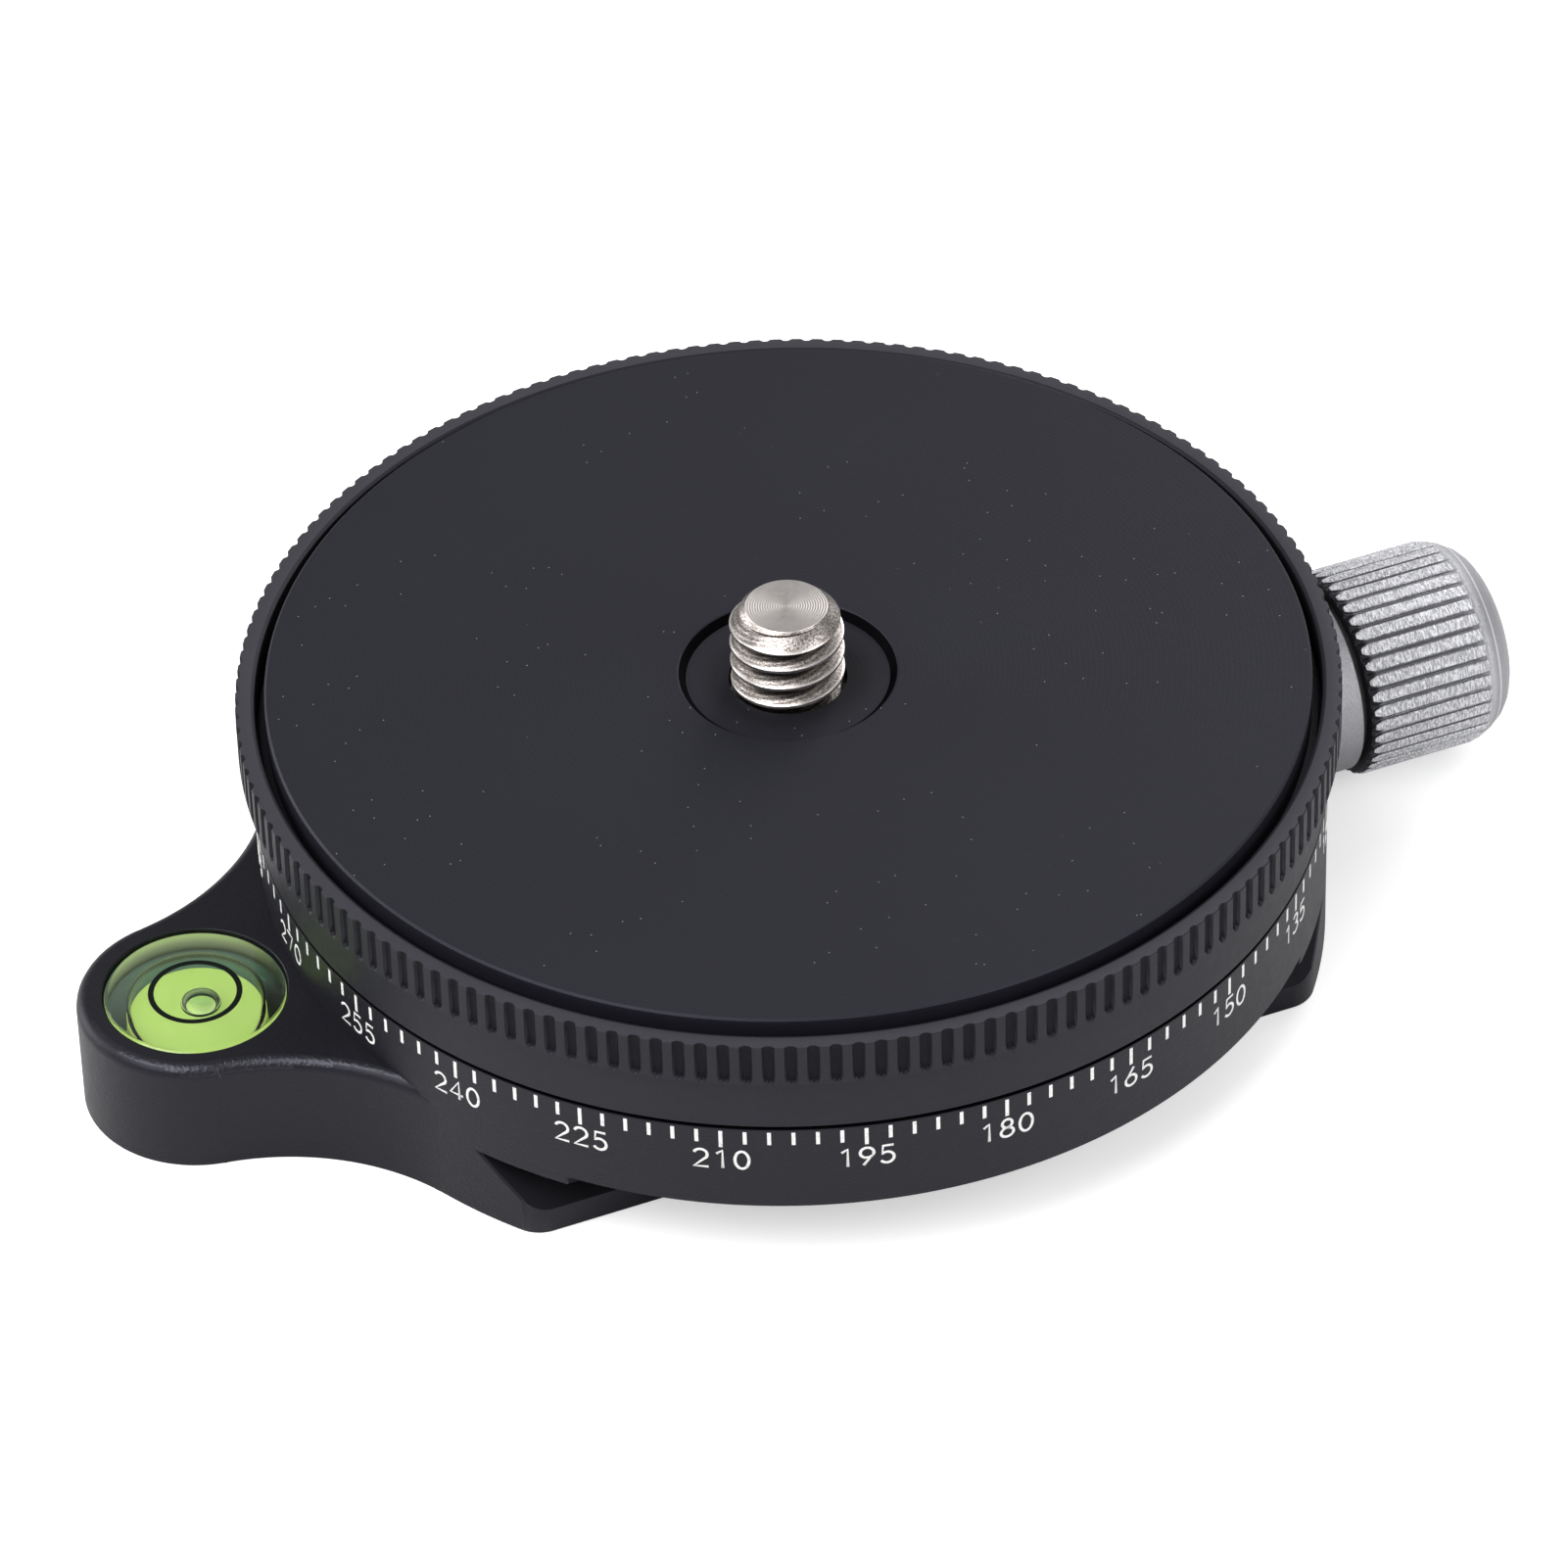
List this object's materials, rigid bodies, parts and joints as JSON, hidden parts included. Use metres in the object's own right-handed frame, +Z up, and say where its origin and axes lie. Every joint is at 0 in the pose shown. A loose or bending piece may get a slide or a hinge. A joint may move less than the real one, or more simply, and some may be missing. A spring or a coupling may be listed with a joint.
{
  "type": "panoramic panning base",
  "caption": "Low round panning base with a degree ring, knurled turning platform, camera stud, side lock knob, round bubble level on a lug and a dovetail foot.",
  "frame": {"origin": "on the pan axis, level with the underside of the dovetail foot", "axes": "+Z up along the pan axis, +X towards the lock knob, -X towards the level lug, -Y towards the 180 degree mark of the scale"},
  "size_m": [0.0852, 0.0614, 0.0224],
  "materials": {
    "black_anodised": "fine bead blasted, black anodised",
    "black_plate": "faced flat, black anodised, fine matt",
    "satin_silver": "bead blasted, clear anodised",
    "stainless": "lathe turned stainless steel",
    "dark_steel": "black oxide",
    "brass": "turned brass",
    "acetal": "white acetal",
    "clear_acrylic": "polished clear acrylic",
    "green_fluid": "clear yellow-green liquid",
    "green_base": "pale green plastic disc"
  },
  "bodies": {
    "base": {"base_body": "black_anodised", "bottom_cover": "black_anodised", "tripod_insert": "stainless", "spindle_bush": "brass", "upper_glide_washer": "acetal", "lower_glide_washer": "acetal", "lock_bush": "brass", "level_vial": "clear_acrylic", "level_fluid": "green_fluid", "level_base": "green_base", "cover_screw_1": "dark_steel", "cover_screw_2": "dark_steel", "cover_screw_3": "dark_steel", "cover_screw_4": "dark_steel"},
    "rotor": {"rotating_platform": "black_anodised", "top_plate": "black_plate", "camera_stud": "stainless", "retaining_ring": "stainless", "plate_screw_1": "dark_steel", "plate_screw_2": "dark_steel", "plate_screw_3": "dark_steel", "plate_screw_4": "dark_steel", "retaining_screw_1": "dark_steel", "retaining_screw_2": "dark_steel", "retaining_screw_3": "dark_steel", "retaining_screw_4": "dark_steel"},
    "brake": {"brake_shoe": "brass"},
    "knob": {"lock_screw": "stainless", "lock_knob": "satin_silver"}
  },
  "joints": [
    {"name": "pan", "type": "hinge", "parent": "base", "child": "rotor", "pos_m": [0, 0, 0.014], "axis": [0, 0, 1], "continuous": true},
    {"name": "lock_travel", "type": "slide", "parent": "base", "child": "brake", "axis": [1, 0, 0], "range_m": [0, 0.0015]},
    {"name": "lock_turn", "type": "hinge", "parent": "brake", "child": "knob", "pos_m": [0.03, 0, 0.00605], "axis": [1, 0, 0], "range_deg": [0, 540]}
  ],
  "couplings": [
    {"joint": "lock_turn", "follows": "lock_travel", "rad_per_m": 6283.2}
  ]
}
